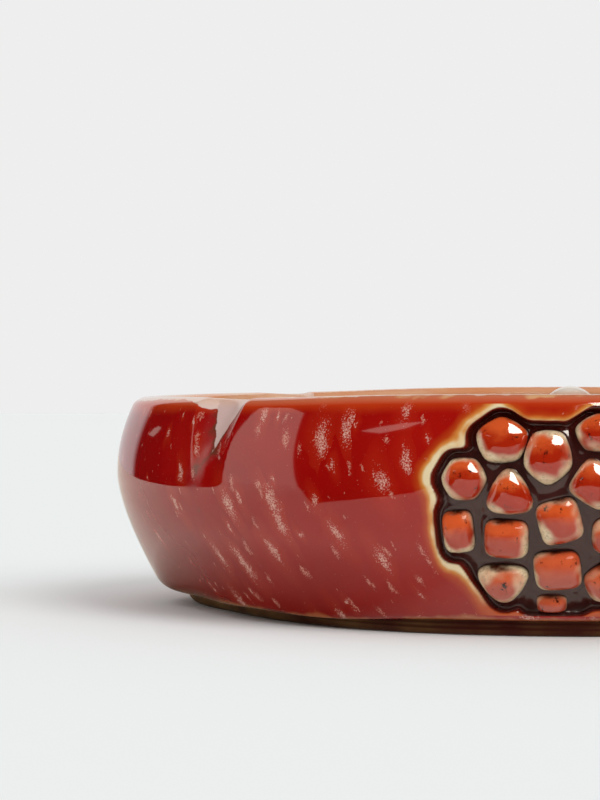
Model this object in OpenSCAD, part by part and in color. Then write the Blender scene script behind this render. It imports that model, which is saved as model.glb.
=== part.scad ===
// Four-lobed divided serving dish in glazed earthenware.
// A wall, pinched in between its lobes, stands round a floor slab on a foot ring. Four dividers run
// from a hub to the pinches, and pomegranate seeds sit in a pocket sunk in the front lobe.
// Millimetres. The table is z = 0, the front faces -Y and +X is to the right.
// A bearing is an angle round the dish: 0 is the front, and it grows towards +X.

/* [Wall] */
// Width across the widest part of the wall
dish_w = 280; // [240:1:340]
// Height of the rim above the table, at the front and the back
rim_z = 66; // [58:1:80]
// Height of the widest part of the wall
girth_z = 40; // [32:1:44]
// How far the wall's lower edge lies inside its widest part
flank_inset = 13.5; // [8:0.5:22]
// How far the rim lies inside the widest part, at the front and the back
shoulder_inset = 6; // [0:0.5:10]
// How far it lies inside that part at the two sides
shoulder_side_inset = 7.5; // [0:0.5:10]
// Thickness of the wall at the rim
rim_t = 8; // [6:0.5:10]
// Height of the rounding over the rim
rim_round = 2.5; // [1.5:0.5:4]
// Thickness of the wall at its widest part
wall_t = 10; // [8:0.5:14]
// Radius of the wall's lower outside edge
edge_r = 1.5; // [1:0.5:3]
// How far the rim is lower at the two sides than at the front
side_dip = 2; // [0:0.5:4]

/* [Lobes] */
// Bearing of the pinches beside the front and the back lobe
pinch_bearing = 49; // [42:1:56]
// How far the whole outline draws in between two lobes
lobe_relief = 3; // [0:0.5:6]
// How deep the rim is pinched in between two lobes
pinch_depth = 7; // [2:0.5:12]
// Width of a pinch along the wall
pinch_w = 28; // [18:1:40]
// How far a pinch runs down the wall
pinch_run = 27; // [20:1:40]
// How far the rim dips at a pinch
pinch_dip = 0.5; // [0:0.5:5]

/* [Base] */
// Thickness of the floor slab
floor_t = 7; // [5:0.5:10]
// Bearing at which the base draws in between two lobes
base_bearing = 65; // [55:1:75]
// How far the wall's lower edge draws in there
base_relief = 6; // [0:0.5:8]
// Width of the flat seat under the wall, outside the floor slab, where the base draws in
seat_w = 4; // [3:0.5:8]
// Height of the fillet between the wall and the floor
cove_h = 14; // [8:1:18]
// Width of that fillet on the floor
cove_w = 10; // [6:1:14]
// Height of the foot ring
foot_h = 4.5; // [3:0.5:8]
// Width of the foot ring
foot_w = 12; // [8:1:18]
// How far the foot ring lies inside the wall's lower edge, at the front and the back
foot_inset = 2.5; // [2:0.5:6]
// How far it lies inside that edge at the two sides
foot_side_inset = 8.5; // [4:0.5:14]

/* [Dividers] */
// Thickness of a divider
divider_t = 8; // [6:0.5:10]
// How far a divider's top edge sags between the hub and the wall
divider_sag = 5; // [0:0.5:10]
// Radius of the hub where the dividers meet
hub_r = 9; // [8:0.5:12]
// How far the hub stands above the rim
hub_rise = 1; // [-3:0.5:6]

/* [Seeds] */
// Depth of the pocket that the seeds sit in
pocket_depth = 4.5; // [2:0.5:6]
// Width of the ground left bare round the outer seeds
pocket_margin = 1.5; // [1:0.5:3]
// Height of a full-sized seed above the pocket's ground
seed_rise = 5.5; // [3:0.5:7]

/* [Joints] */
// Thickness of the slip between two luted pieces
slip = 0.15; // [0.1:0.05:0.4]

/* [Hidden] */
flank_power = 1.5;
pinch_power = 1.2;
pinch_round = 1.25;
seed_corner = 1.1;
divider_crown = 0.9;
pocket_blend = 0.9;
pocket_wall = 3.2;
pocket_edge = 1.2;
pinch_taper = 0.5;
foot_front_end = 15;
foot_side_start = 65;

// Each lobe as [middle bearing, half of its angle]: front, right, back, left
lobes = [
    [0, pinch_bearing], [90, 90 - pinch_bearing], [180, pinch_bearing], [270, 90 - pinch_bearing],
];

girth_r = dish_w / 2;
edge_z = foot_h + edge_r;
floor_z = foot_h + floor_t;
cove_z = floor_z + cove_h;
floor_r = girth_r - flank_inset - base_relief - edge_r - seat_w;
mm_per_degree = girth_r * PI / 180;

// Mesh density of the wall, the dividers and the seeds
outer_rows = 28;
rim_steps = 6;
inner_rows = 4;
cove_steps = 4;
edge_steps = 2;
pinch_columns = 4;
lobe_columns = 3;
relief_columns = 54;
plain_columns = 2;
foot_columns = 120;
divider_steps = 10;
divider_columns = 6;
divider_rows = 8;
seed_sides = 16;

// Seeds of the relief, each [across, up, width, height, tilt, corners], in a layout of its own:
// across from the middle of the front lobe and up from the bottom of the pocket.
seeds = [
    [-18.8, 47, 14, 12.6, 20, 5], [-6, 42.9, 13, 14.8, -18, 5], [8.3, 49, 13, 10.5, 20, 5],
    [22, 44.8, 13, 12.6, -15, 4], [-29.3, 36.9, 12.2, 12, 0, 6], [-16.5, 33, 12, 12.4, 90, 3],
    [6.9, 35.8, 13, 12.8, 12, 4], [21.2, 30.8, 13, 12.6, 30, 5], [33.6, 37, 11.6, 13.4, 5, 5],
    [-31.4, 23, 9.4, 13, 48, 4], [-17.8, 21.2, 13.2, 11.8, 42, 4], [-2.8, 26, 12.8, 13.4, 60, 4],
    [12, 22.2, 12, 12, 0, 5], [25.2, 18.2, 12.6, 12, 40, 4], [36.6, 23.9, 10, 11.8, 40, 4],
    [-19.4, 9.7, 13.2, 11.2, -90, 3], [-3.5, 12.8, 14, 12.2, 50, 4], [11, 9.5, 12.8, 11.6, 20, 5],
    [24.6, 6.7, 11.8, 9.6, -30, 4], [-5.4, 3.5, 9, 5.2, 45, 4],
];
flat_seed_h = 8; // a seed that is lower than this on the wall also rises less

// The layout is drawn to fill the wall from its lower edge to its rim.
rim_land = 4; // plain wall left between the pocket and the rim
pocket_top = rim_z - rim_land;
layout_room = 1.75; // bare ground above the top seed
layout_h = max([for (seed = seeds) seed[1] + seed[3] / 2]) + layout_room;
layout_scale = (pocket_top - edge_z) / layout_h;

seed_names = [for (i = [1:len(seeds)]) str("seed_", i < 10 ? "0" : "", i)];
divider_names = ["divider_front_right", "divider_back_right", "divider_back_left", "divider_front_left"];

// Shape of the wall

function at(r, bearing, z) = [r * sin(bearing), -r * cos(bearing), z];
function mix(a, b, t) = a + (b - a) * t;
function clamped(t) = min(1, max(0, t));
function smooth(t) = let (c = clamped(t)) c * c * (3 - 2 * c);

// Bearing folded into the quarter from the front (0) to the side (90)
function folded(bearing) = acos(abs(cos(bearing)));

// 1 at the rim, falling to 0 where a pinch runs out
function pinch_fade(z) = pow(max(0, (z - rim_z + pinch_run) / pinch_run), pinch_power);

// 1 in the middle of a pinch, falling to 0 at its sides, which close in below the rim
function pinch(bearing, z) =
    let (
        half = pinch_w / 2 * mix(pinch_taper, 1, pinch_fade(z)),
        share = abs(folded(bearing) - pinch_bearing) * mm_per_degree / half
    )
    share < 1 ? pow(1 - share * share, pinch_round) : 0;

// 0 in the middle of a lobe, growing to 1 at a bearing between two lobes
function valley(bearing, deepest) =
    let (
        f = folded(bearing),
        share = f < deepest ? f / deepest : (90 - f) / (90 - deepest)
    )
    (1 - cos(180 * share)) / 2;

// How far the outline draws in, from the base up to the lobes
function draw_in(bearing, z) =
    let (up = smooth((z - foot_h) / (girth_z - foot_h)))
    mix(base_relief, lobe_relief, up) * valley(bearing, mix(base_bearing, pinch_bearing, up));

function rim_at(bearing) = rim_z - side_dip * pow(sin(bearing), 2) - pinch_dip * pinch(bearing, rim_z);
function rim_centre(bearing) = rim_at(bearing) - rim_round;

function flank(z) = flank_inset * pow((girth_z - z) / (girth_z - foot_h), flank_power);
function shoulder(bearing, z) =
    mix(shoulder_inset, shoulder_side_inset, pow(sin(bearing), 2)) * pow((z - girth_z) / (rim_z - girth_z), 2);

// Outer radius of the wall, before the pocket is sunk in it
function outer(bearing, z) =
    girth_r
    - (z < girth_z ? flank(z) : shoulder(bearing, z))
    - draw_in(bearing, z)
    - pinch_depth * pinch(bearing, z) * pinch_fade(z);

function thickness(bearing, z) =
    mix(rim_t, wall_t, clamped((rim_centre(bearing) - z) / (rim_centre(bearing) - girth_z)));

function inner(bearing, z) =
    let (into_cove = clamped((cove_z - z) / cove_h))
    outer(bearing, z) - thickness(bearing, z) - cove_w * (1 - sqrt(1 - into_cove * into_cove));

// Seeds and their pocket, in millimetres across the wall and up from the table

function across(seed) = seed[0] * layout_scale;
function up(seed) = edge_z + seed[1] * layout_scale;
function half_w(seed) = seed[2] * layout_scale / 2;
function half_h(seed) = seed[3] * layout_scale / 2;
function rise(seed) = seed_rise * min(1, seed[3] / flat_seed_h);

// Outline of a seed as a share of its half size: its sides are flat where the corner value is 1
function seed_outline(seed, angle) =
    let (corners = seed[5])
    1 + seed_corner / (corners * corners - 1) * cos(corners * (angle - seed[4]));

// Distance from a seed's outline, negative inside it
function seed_gap(seed, s, z) =
    let (u = (s - across(seed)) / half_w(seed), v = (z - up(seed)) / half_h(seed))
    (norm([u, v]) / seed_outline(seed, atan2(v, u)) - 1) * (half_w(seed) + half_h(seed)) / 2;

// Distance from the whole cluster, with the hollows between its seeds filled
function cluster_gap(s, z) =
    let (near = [for (seed = seeds) exp(-seed_gap(seed, s, z) / pocket_blend)])
    -pocket_blend * ln(max(1e-9, near * [for (n = near) 1]));

function pocket(s, z) =
    smooth((pocket_margin + pocket_wall - cluster_gap(s, z)) / pocket_wall)
    * smooth((z - edge_z) / pocket_edge)
    * smooth((pocket_top - z) / pocket_edge);

function ground(bearing, z) = outer(bearing, z) - pocket_depth;

relief_half = max([for (seed = seeds) abs(across(seed)) + half_w(seed)]) + 2 * pocket_margin + pocket_wall;
relief_angle = relief_half / mm_per_degree;

function in_relief(bearing) = abs(bearing) < relief_angle;
function skin(bearing, z) =
    outer(bearing, z)
    - (in_relief(bearing) ? pocket_depth * pocket(bearing * mm_per_degree, z) : 0);

// Closed outline of the wall at a bearing, as [radius, height]: the lower edge, the outside up to the
// rim, over the rim, the inside down to the floor slab, and the rabbet that the slab fits in.
function wall_section(bearing) =
    let (
        rim_c = rim_centre(bearing),
        rim_x = outer(bearing, rim_c) - rim_t / 2,
        edge_x = outer(bearing, edge_z) - edge_r
    )
    concat(
        [for (i = [0:edge_steps - 1]) let (a = 90 - 90 * i / edge_steps)
            [edge_x + edge_r * cos(a), edge_z - edge_r * sin(a)]],
        [[outer(bearing, edge_z), edge_z]],
        [for (i = [0:outer_rows]) let (z = mix(edge_z + pocket_edge, rim_c, i / outer_rows))
            [skin(bearing, z), z]],
        [for (i = [1:rim_steps - 1]) let (a = 180 * i / rim_steps)
            [rim_x + rim_t / 2 * cos(a), rim_c + rim_round * sin(a)]],
        [for (i = [0:inner_rows]) let (z = mix(rim_c, cove_z, i / inner_rows)) [inner(bearing, z), z]],
        [for (i = [1:cove_steps]) let (z = cove_z - cove_h * sin(90 * i / cove_steps)) [inner(bearing, z), z]],
        [[floor_r + slip, floor_z], [floor_r + slip, foot_h]]
    );

function span(from, to, count) = [for (i = [0:count - 1]) mix(from, to, i / count)];

// Bearings of the wall's sections, close together at the pinches and across the relief
pinch_angle = pinch_w / 2 / mm_per_degree;
wall_bearings = [
    for (lobe = lobes)
        let (
            middle = lobe[0],
            start = middle - lobe[1],
            end = middle + lobe[1],
            front = middle == 0,
            half = front ? relief_angle : pinch_angle
        )
        each concat(
            span(start, start + pinch_angle, pinch_columns),
            span(start + pinch_angle, middle - half, lobe_columns),
            span(middle - half, middle + half, front ? relief_columns : plain_columns),
            span(middle + half, end - pinch_angle, lobe_columns),
            span(end - pinch_angle, end, pinch_columns)
        )
];

// A four-cornered face as two triangles, split along its shorter diagonal
function halves(points, a, b, c, d) =
    norm(points[a] - points[c]) < norm(points[b] - points[d])
        ? [[a, b, c], [a, c, d]]
        : [[a, b, d], [b, c, d]];

module wall() {
    rows = len(wall_section(0));
    columns = len(wall_bearings);
    points = [for (b = wall_bearings) for (p = wall_section(b)) at(p[0], b, p[1])];
    color("firebrick")
        polyhedron(
            points = points,
            faces = [
                for (i = [0:columns - 1]) for (j = [0:rows - 1])
                    let (
                        here = i * rows,
                        next = (i + 1) % columns * rows,
                        above = (j + 1) % rows
                    )
                    each halves(points, here + j, here + above, next + above, next + j)
            ]
        );
}

module floor_slab() {
    color("chocolate") translate([0, 0, foot_h]) cylinder(r = floor_r, h = floor_t, $fn = 180);
}

// Outer radius of the foot ring, which lies further in at the two sides
function foot_outer(bearing) =
    let (aside = smooth((folded(bearing) - foot_front_end) / (foot_side_start - foot_front_end)))
    outer(bearing, foot_h) - mix(foot_inset, foot_side_inset, aside);

module foot_outline(inset) {
    polygon([
        for (i = [0:foot_columns - 1])
            let (bearing = 360 * i / foot_columns, r = foot_outer(bearing) - inset)
            [r * sin(bearing), -r * cos(bearing)]
    ]);
}

// Ring under the wall's seat and the floor slab's edge
module foot_ring() {
    color("saddlebrown")
        linear_extrude(foot_h)
            difference() {
                foot_outline(0);
                foot_outline(foot_w);
            }
}

hub_top = rim_z + hub_rise;
hub_side_z = hub_top - hub_r;

// Post with a domed top, where the four dividers meet
module divider_hub() {
    color("orangered")
        rotate_extrude($fn = 90)
            polygon(concat(
                [[0, floor_z], [hub_r, floor_z]],
                [for (a = [0:10:80]) [hub_r * cos(a), hub_side_z + hub_r * sin(a)]],
                [[0, hub_top]]
            ));
}

// Top edge of a divider at a share of the way from the hub to the wall
function divider_top(bearing, share) =
    mix(hub_side_z, rim_centre(bearing), share) - divider_sag * 4 * share * (1 - share);

// A point of a divider: a share of the way along it, a side from -1 to 1 and a share of its height
function divider_point(bearing, share, side, level) =
    let (
        u = side * divider_t / 2,
        arch = divider_t / 2 * (1 - sqrt(1 - divider_crown * side * side)),
        z = mix(floor_z, divider_top(bearing, share) - arch, level),
        start = sqrt(pow(hub_r + slip, 2) - u * u),
        wall_bearing = bearing + atan2(u, inner(bearing, z)),
        end = sqrt(pow(inner(wall_bearing, z) - slip, 2) - u * u),
        along = mix(start, end, share)
    )
    at(along, bearing, z) + [u * cos(bearing), u * sin(bearing), 0];

// Closed skin of a block whose points are place(share along, share across, share up)
module block(steps, columns, rows, place) {
    points = [
        for (i = [0:steps]) for (j = [0:columns]) for (k = [0:rows])
            place(i / steps, j / columns, k / rows)
    ];
    function index(i, j, k) = (i * (columns + 1) + j) * (rows + 1) + k;
    function face(a, b, c, d) = halves(points, a, b, c, d);
    polyhedron(
        points = points,
        faces = concat(
            [for (i = [1:steps]) for (j = [1:columns]) each concat(
                face(index(i - 1, j - 1, 0), index(i, j - 1, 0), index(i, j, 0), index(i - 1, j, 0)),
                face(index(i - 1, j - 1, rows), index(i - 1, j, rows),
                    index(i, j, rows), index(i, j - 1, rows)))],
            [for (i = [1:steps]) for (k = [1:rows]) each concat(
                face(index(i - 1, 0, k - 1), index(i - 1, 0, k), index(i, 0, k), index(i, 0, k - 1)),
                face(index(i - 1, columns, k - 1), index(i, columns, k - 1),
                    index(i, columns, k), index(i - 1, columns, k)))],
            [for (j = [1:columns]) for (k = [1:rows]) each concat(
                face(index(0, j - 1, k - 1), index(0, j, k - 1), index(0, j, k), index(0, j - 1, k)),
                face(index(steps, j - 1, k - 1), index(steps, j - 1, k),
                    index(steps, j, k), index(steps, j, k - 1)))]
        )
    );
}

module divider(bearing) {
    color("tomato")
        block(divider_steps, divider_columns, divider_rows,
            function (i, j, k) divider_point(bearing, i, 2 * j - 1, k));
}

// Rings of a seed from its seat to its crown, each [share of its width, share of its rise]
seed_rings = [[0.9, 0], [1, 0.28], [0.95, 0.62], [0.75, 0.87], [0.42, 0.98]];

// A point on a seed, at an angle round it and at a ring's share of its width and rise
function seed_point(seed, ring, angle) =
    let (
        reach = ring[0] * seed_outline(seed, angle),
        bearing = (across(seed) + half_w(seed) * reach * cos(angle)) / mm_per_degree,
        z = up(seed) + half_h(seed) * reach * sin(angle)
    )
    at(ground(bearing, z) + slip + ring[1] * rise(seed), bearing, z);

module seed(seed) {
    rings = len(seed_rings);
    seat = rings * seed_sides;
    crown = seat + 1;
    color("coral")
        polyhedron(
            points = concat(
                [for (ring = seed_rings) for (i = [0:seed_sides - 1])
                    seed_point(seed, ring, 360 * i / seed_sides)],
                [seed_point(seed, [0, 0], 0), seed_point(seed, [0, 1], 0)]
            ),
            faces = [
                for (i = [0:seed_sides - 1])
                    let (next = (i + 1) % seed_sides, top = (rings - 1) * seed_sides)
                    each concat(
                        [[seat, i, next], [crown, top + next, top + i]],
                        [for (j = [0:rings - 2]) let (low = j * seed_sides, high = low + seed_sides)
                            each [[low + i, high + next, low + next], [low + i, high + i, high + next]]]
                    )
            ]
        );
}

wall();
floor_slab();
foot_ring();
divider_hub();
for (i = [0:3]) divider(lobes[i][0] + lobes[i][1]);
for (i = [0:len(seeds) - 1]) seed(seeds[i]);
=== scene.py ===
"""Divided serving dish: a lobed, pinched wall in red reactive glaze with a relief of pomegranate seeds.

Sizes are in millimetres, as in the dish's construction, and meshes are made in metres.
A bearing is an angle round the dish: 0 is the front (-Y), and it grows towards +X.
"""

import math

import bmesh
import bpy
import numpy as np
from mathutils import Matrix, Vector


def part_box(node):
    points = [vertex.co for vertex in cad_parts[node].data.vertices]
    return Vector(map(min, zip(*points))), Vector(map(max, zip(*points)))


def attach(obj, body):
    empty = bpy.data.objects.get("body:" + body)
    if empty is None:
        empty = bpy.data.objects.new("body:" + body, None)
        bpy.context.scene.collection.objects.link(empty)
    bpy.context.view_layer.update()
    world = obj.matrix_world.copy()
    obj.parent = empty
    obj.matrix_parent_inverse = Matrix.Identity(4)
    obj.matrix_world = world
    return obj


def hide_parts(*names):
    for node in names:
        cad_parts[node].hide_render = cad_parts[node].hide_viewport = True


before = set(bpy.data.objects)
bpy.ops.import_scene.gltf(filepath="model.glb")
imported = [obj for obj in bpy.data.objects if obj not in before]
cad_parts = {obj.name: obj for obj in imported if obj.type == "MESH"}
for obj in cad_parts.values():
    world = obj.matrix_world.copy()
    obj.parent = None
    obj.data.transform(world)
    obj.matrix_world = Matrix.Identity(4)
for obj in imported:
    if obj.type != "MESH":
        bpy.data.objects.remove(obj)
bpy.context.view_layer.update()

# Sizes taken from the frame

MM = 1000


def top_of(node):
    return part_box(node)[1][2] * MM


def width_of(node):
    low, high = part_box(node)
    return (high[0] - low[0]) * MM


girth_r = width_of("wall") / 2
rim_z = top_of("wall")
foot_h = top_of("foot_ring")
floor_z = top_of("floor_slab")
floor_r = width_of("floor_slab") / 2
hub_r = width_of("divider_hub") / 2
hub_top = top_of("divider_hub")

# Sizes of the wall, as in the construction

girth_z = 40
flank_inset = 13.5
flank_power = 1.5
shoulder_inset = 6
shoulder_side_inset = 7.5
rim_t = 8
rim_round = 2.5
wall_t = 10
edge_r = 1.5
edge_z = foot_h + edge_r
side_dip = 2
lobe_relief = 3
base_relief = 6
base_bearing = math.radians(65)
pinch_bearing = math.radians(49)
pinch_depth = 7
pinch_w = 28
pinch_round = 1.25
pinch_run = 27
pinch_power = 1.2
pinch_taper = 0.5
pinch_dip = 0.5
cove_h = 14
cove_w = 10
foot_w = 12
foot_inset = 2.5
foot_side_inset = 8.5
foot_front_end = math.radians(15)
foot_side_start = math.radians(65)
foot_round = 1.5
divider_t = 8
divider_sag = 5

# Unevenness left by the maker's hands

front_sink = 0.2
rim_sink = 0.55
rim_sink_bearing = math.radians(42)
rim_sink_half = math.radians(14)
edge_sink = 0.2
edge_sag = 1.45
edge_sag_bearing = math.radians(34)
edge_sag_half = math.radians(12)
side_sag = 0.5
side_sag_bearing = math.radians(58)
side_sag_half = math.radians(8)
side_corner_r = 4
side_corner_span = math.radians(15)
foot_side_round = 4
foot_line_depth = 0.35
# Turned lines on the foot, each (height, half width, strength)
foot_lines = ((2.6, 0.35, 1), (3.8, 0.3, 0.85))
foot_corner_wear = 0.8
foot_front_wear = 0.4
floor_drop = 0.2
floor_below_edge = 40.0
floor_ring_h = 0.06
floor_ring_rate = 0.9
floor_plain_r = 10
# Broad waves of the wall, each (half height, waves round the dish, turn per mm up the wall, start)
wobble_waves = (
    (0.12, 3, 0.03, 0.4), (0.12, 5, -0.05, 1.9), (0.12, 8, 0.07, 4.0), (0.06, 13, -0.11, 2.2),
    (0.04, 21, 0.16, 5.1),
)

# Soft joins of the hub and the dividers

hub_spread = 6
hub_spread_h = 10
divider_spread = 5
divider_spread_h = 9
wall_end_spread = 4
wall_end_share = 0.1
hub_end_spread = 3
hub_end_share = 0.08
divider_arch = 0.9
hub_tuck = 2
wall_tuck = 2.5

# Painted reflection: a pale tongue in each pinch, which narrows to a crease, and the rim's pale crest

tongue_half = 8.4
tongue_run = 15
tongue_power = 1.35
tongue_lean = 6
lean_start = 13
lean_run = 9
crease_taper = 0.25
# Height of the pale crest, each (distance past a pinch towards the side, height)
rim_crest = ((-12, 0.1), (0, 2), (8.4, 3.2), (18, 1), (24, 0.6), (40, 0.6), (55, 1.2))

# Run of the glaze and its specks

run_lean = 5e-5
run_upright_z = 60
side_specks = 0.4
side_speck_fade = 25
seam_specks = 0.02
seam_w = 3
seam_fade = 15

# Sizes of the relief

rim_land = 4
pocket_depth = 4.5
pocket_margin = 1.5
pocket_wall = 1.2
pocket_blend = 0.9
pocket_edge = 1.2
seed_rise = 5.5
flat_seed_h = 8
seed_corner = 1.1
pool_h = 0.8
pool_w = 3.2
# The lip's glow is broader at the relief's left side, by these widths low and high on the wall
lip_side = 18
lip_side_fade = 10
lip_low = 0.5
lip_high = 0.9
lip_low_z = 20
lip_low_fade = 15
lip_least = 0.12

# Seeds, each (across, up, width, height, tilt in degrees, corners): across from the middle of the
# front lobe, and up from the wall's lower edge
seeds = np.array([
    (-18.8, 47, 14, 12.6, 20, 5), (-6, 42.9, 13, 14.8, -18, 5), (8.3, 49, 13, 10.5, 20, 5),
    (22, 44.8, 13, 12.6, -15, 4), (-29.3, 36.9, 12.2, 12, 0, 6), (-16.5, 33, 12, 12.4, 90, 3),
    (6.9, 35.8, 13, 12.8, 12, 4), (21.2, 30.8, 13, 12.6, 30, 5), (33.6, 37, 11.6, 13.4, 5, 5),
    (-31.4, 23, 9.4, 13, 48, 4), (-17.8, 21.2, 13.2, 11.8, 42, 4), (-2.8, 26, 12.8, 13.4, 60, 4),
    (12, 22.2, 12, 12, 0, 5), (25.2, 18.2, 12.6, 12, 40, 4), (36.6, 23.9, 10, 11.8, 40, 4),
    (-19.4, 9.7, 13.2, 11.2, -90, 3), (-3.5, 12.8, 14, 12.2, 50, 4), (11, 9.5, 12.8, 11.6, 20, 5),
    (24.6, 6.7, 11.8, 9.6, -30, 4), (-5.4, 3.5, 9, 5.2, 45, 4),
])
# Bare spots of the pocket between its seeds, each (across, up, radius)
bare_spots = ((-11.6, 4.5, 2), (2.6, 4.5, 2), (13.8, 42, 1), (-25, 28, 1), (-27, 15.5, 1.5))
seed_nodes = [f"seed_{i + 1:02d}" for i in range(len(seeds))]

# Shape of the wall, on arrays of bearings and heights


def smooth(t):
    t = np.clip(t, 0, 1)
    return t * t * (3 - 2 * t)


def mix(a, b, t):
    return a + (b - a) * t


def folded(bearing):
    """Bearing folded into the quarter from the front to the side."""
    return np.arccos(np.clip(np.abs(np.cos(bearing)), 0, 1))


def past_pinch(bearing):
    """Distance round the dish from the middle of a pinch, positive towards the side."""
    return (folded(bearing) - pinch_bearing) * girth_r


def pinch_fade(z):
    """1 at the rim, falling to 0 where the pinches end."""
    return np.maximum(0, (z - rim_z + pinch_run) / pinch_run) ** pinch_power


def pinch(bearing, z):
    """1 in the middle of a pinch, falling to 0 at its sides, which close in below the rim."""
    half = pinch_w / 2 * mix(pinch_taper, 1, pinch_fade(z))
    share = np.abs(past_pinch(bearing)) / half
    return np.maximum(0, 1 - share**2) ** pinch_round


def valley(bearing, deepest):
    """0 in the middle of a lobe, growing to 1 at a bearing between two lobes."""
    f = folded(bearing)
    share = np.where(f < deepest, f / deepest, (math.pi / 2 - f) / (math.pi / 2 - deepest))
    return (1 - np.cos(math.pi * share)) / 2


def draw_in(bearing, z):
    """How far the outline draws in, from the base up to the lobes."""
    up = smooth((z - foot_h) / (girth_z - foot_h))
    return mix(base_relief, lobe_relief, up) * valley(bearing, mix(base_bearing, pinch_bearing, up))


def sag(bearing, middle, half):
    """1 at a bearing in each quarter, falling off softly on both sides."""
    return np.exp(-((folded(bearing) - middle) / half) ** 2)


def rim_at(bearing):
    """Height of the rim's top."""
    sunk = rim_sink * sag(bearing, rim_sink_bearing, rim_sink_half)
    by_hand = front_sink * (1 + np.cos(bearing)) + sunk
    return rim_z - side_dip * np.sin(bearing) ** 2 - pinch_dip * pinch(bearing, rim_z) - by_hand


def rim_centre(bearing):
    return rim_at(bearing) - rim_round


def outer(bearing, z):
    """Outer radius of the wall, before the pocket is sunk in it."""
    flank = flank_inset * np.maximum(0, (girth_z - z) / (girth_z - foot_h)) ** flank_power
    rim_inset = mix(shoulder_inset, shoulder_side_inset, np.sin(bearing) ** 2)
    shoulder = rim_inset * np.maximum(0, (z - girth_z) / (rim_z - girth_z)) ** 2
    pinched = pinch_depth * pinch(bearing, z) * pinch_fade(z)
    return girth_r - flank - shoulder - draw_in(bearing, z) - pinched


def inner(bearing, z):
    """Inner radius of the wall, with the cove above the floor."""
    top = rim_centre(bearing)
    thickness = mix(rim_t, wall_t, np.clip((top - z) / (top - girth_z), 0, 1))
    into_cove = np.clip((floor_z + cove_h - z) / cove_h, 0, 1)
    return outer(bearing, z) - thickness - cove_w * (1 - np.sqrt(1 - into_cove**2))


def foot_aside(bearing):
    """0 along the front and the back, growing to 1 at the two sides."""
    return smooth((folded(bearing) - foot_front_end) / (foot_side_start - foot_front_end))


def foot_outer(bearing):
    """Outer radius of the foot ring, which lies further in at the two sides."""
    return outer(bearing, foot_h) - mix(foot_inset, foot_side_inset, foot_aside(bearing))


def hand_wobble(bearing, z):
    """Inset left by the maker's hands: broad soft waves, never outside the true shape."""
    return sum(
        half_h * (1 + np.cos(count * bearing + turn * z + start))
        for half_h, count, turn, start in wobble_waves)


def seed_gaps(s, z):
    """Distance from each seed's outline, negative inside."""
    gaps = []
    for across, up, w, h, tilt, corners in seeds:
        u = (s - across) / (w / 2)
        v = (z - edge_z - up) / (h / 2)
        wave = np.cos(corners * (np.arctan2(v, u) - math.radians(tilt)))
        outline = 1 + seed_corner / (corners**2 - 1) * wave
        gaps.append((np.hypot(u, v) / outline - 1) * (w + h) / 4)
    return np.array(gaps)


def bare_gaps(s, z):
    """Distance from each bare spot of the pocket's ground, negative inside."""
    return np.array([
        np.hypot(s - across, z - edge_z - up) - radius for across, up, radius in bare_spots])


def pocket(bearing, z):
    """Distance from the pocket's edge, negative inside, and the depth of the pocket."""
    s = np.broadcast_to(bearing * girth_r, z.shape)
    gaps = seed_gaps(s, z)
    near = np.exp(-np.concatenate([gaps, bare_gaps(s, z)]).clip(-8) / pocket_blend)
    gap = -pocket_blend * np.log(near.sum(axis=0).clip(1e-9))
    window = smooth((z - edge_z) / pocket_edge) * smooth((rim_z - rim_land - z) / pocket_edge)
    sunk = smooth((pocket_margin + pocket_wall - gap) / pocket_wall) * window
    pooled = pool_h * smooth(1 - gaps.min(axis=0) / pool_w)
    return gap - pocket_margin - pocket_wall, (pocket_depth - pooled) * sunk


def at(r, bearing, z):
    """Points in metres, as an array with the three coordinates last."""
    r, bearing, z = np.broadcast_arrays(r, bearing, z)
    return np.stack([r * np.sin(bearing), -r * np.cos(bearing), z], axis=-1) / MM


# Meshes


def grid_piece(name, grid, loop_u=True, loop_v=True, flat=None, **attributes):
    """A mesh piece from a grid of points [u, v, xyz], closed in the directions asked.

    Flat holds the piece's own UV for each grid point, with one more section at the end that closes
    the loop. Attributes are arrays of values, or of vectors, for the grid's points.
    """
    nu, nv = grid.shape[:2]
    index = np.arange(nu * nv).reshape(nu, nv)
    across = index if not loop_u else np.vstack([index, index[:1]])
    both = across if not loop_v else np.hstack([across, across[:, :1]])
    quads = np.stack([both[:-1, :-1], both[1:, :-1], both[1:, 1:], both[:-1, 1:]], axis=-1)
    quads = quads.reshape(-1, 4)
    mesh = bpy.data.meshes.new(name)
    mesh.from_pydata(grid.reshape(-1, 3), [], quads.tolist())
    if flat is not None:
        flat = np.hstack([flat, flat[:, :1]])
        corners = np.stack([flat[:-1, :-1], flat[1:, :-1], flat[1:, 1:], flat[:-1, 1:]], axis=2)
        mesh.uv_layers.new(name="run").data.foreach_set("uv", corners.astype(np.float32).ravel())
    for key, values in attributes.items():
        is_vector = values.ndim == 3
        layer = mesh.attributes.new(key, "FLOAT_VECTOR" if is_vector else "FLOAT", "POINT")
        plain = np.ascontiguousarray(values, dtype=np.float32).ravel()
        layer.data.foreach_set("vector" if is_vector else "value", plain)
    mesh.polygons.foreach_set("use_smooth", np.ones(len(quads), dtype=bool))
    shape = bmesh.new()
    shape.from_mesh(mesh)
    bmesh.ops.remove_doubles(shape, verts=shape.verts, dist=1e-6)
    shape.to_mesh(mesh)
    shape.free()
    piece = bpy.data.objects.new(name, mesh)
    bpy.context.collection.objects.link(piece)
    return piece


def dress(piece, material, slot, *nodes):
    """Gives a finished piece its glaze, puts it under the root body, and hides the parts that it stands
    for.
    """
    piece.data.materials.clear()
    piece.data.materials.append(material)
    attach(piece, "root")
    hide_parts(*nodes)


def relief_span(beside=8):
    """Half the angle that the relief takes, with some plain wall beside it."""
    return (np.max(np.abs(seeds[:, 0]) + seeds[:, 2] / 2) + beside) / girth_r


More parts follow.
